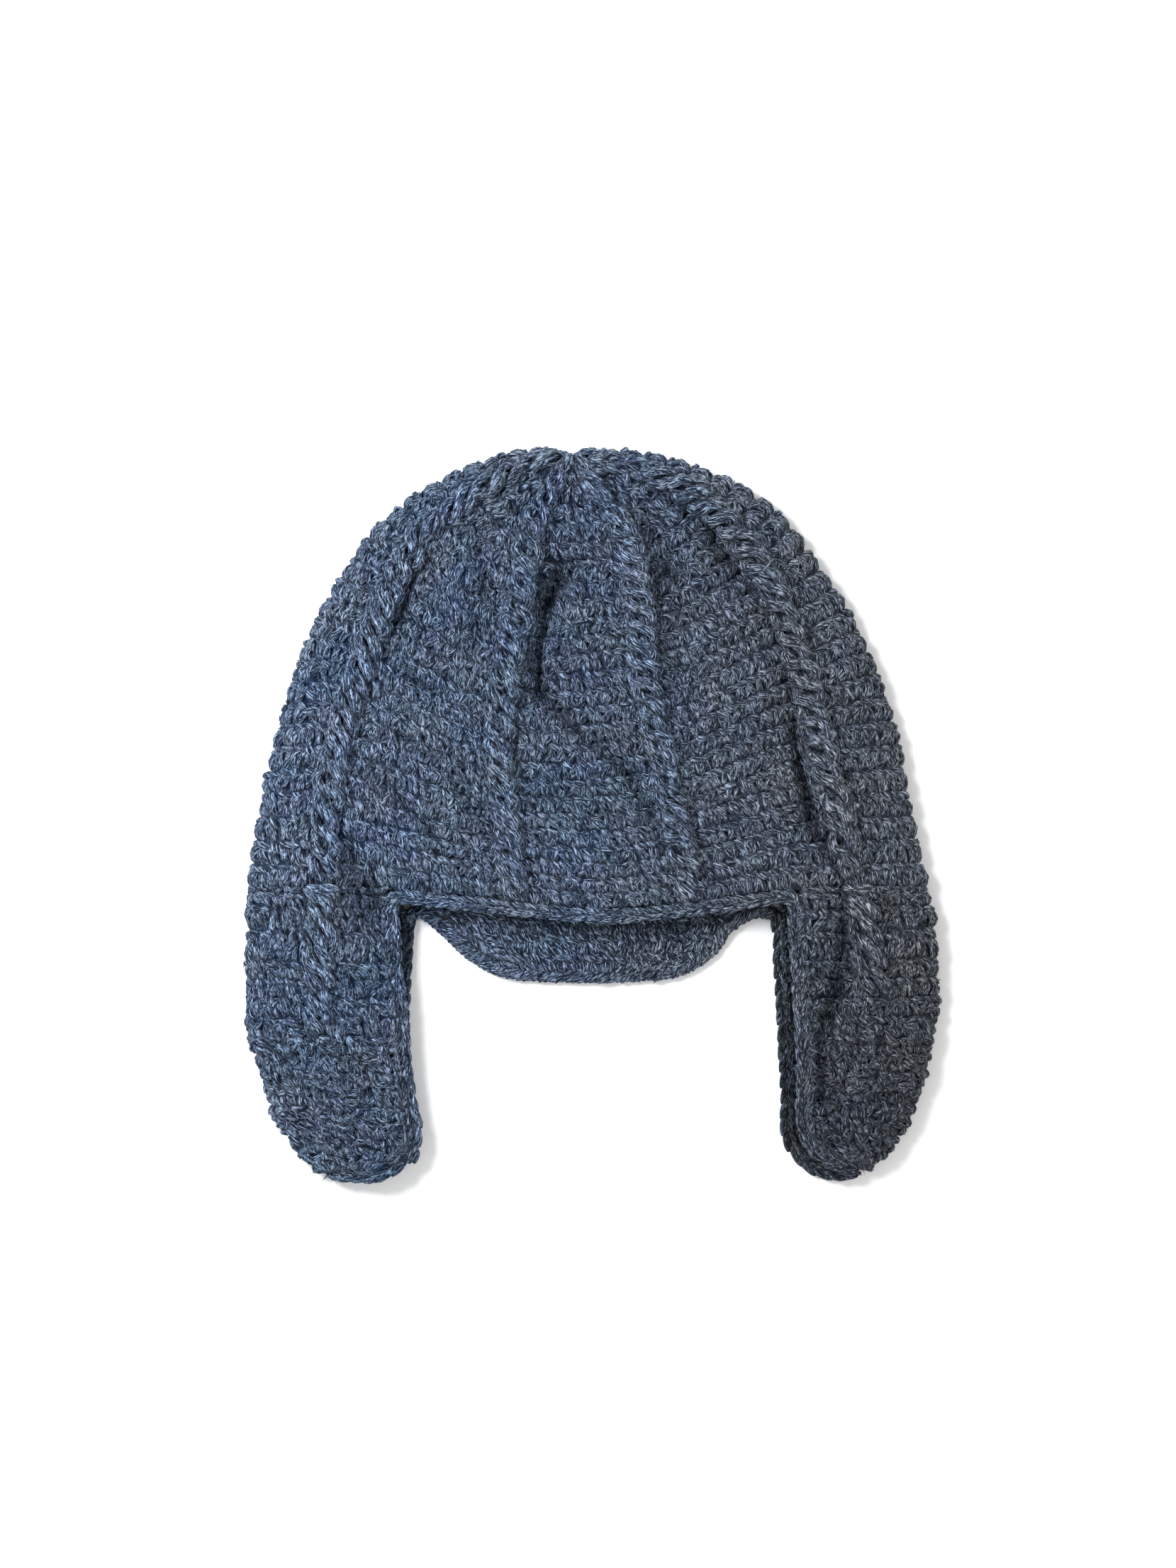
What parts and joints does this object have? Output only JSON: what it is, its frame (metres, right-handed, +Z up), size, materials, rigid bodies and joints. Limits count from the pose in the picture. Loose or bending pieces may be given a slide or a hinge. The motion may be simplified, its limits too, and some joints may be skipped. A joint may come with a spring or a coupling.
{
  "type": "crocheted earflap cap",
  "caption": "Crocheted wool cap with cabled crown, two long folded earflaps, a rounded nape flap and a corded edge, lying flat on its back.",
  "frame": {"origin": "middle of the footprint, on the surface the cap lies on", "axes": "+Z up through the flattened cap, front side up; +Y towards the top of the crown; +X to the right seen from above"},
  "size_m": [0.2728, 0.2902, 0.0264],
  "materials": {
    "wool": "matt",
    "wool_cord": "matt"
  },
  "bodies": {
    "root": {"crown": "wool", "earflap_left": "wool", "earflap_right": "wool", "nape_flap": "wool", "edging": "wool_cord"}
  },
  "joints": []
}
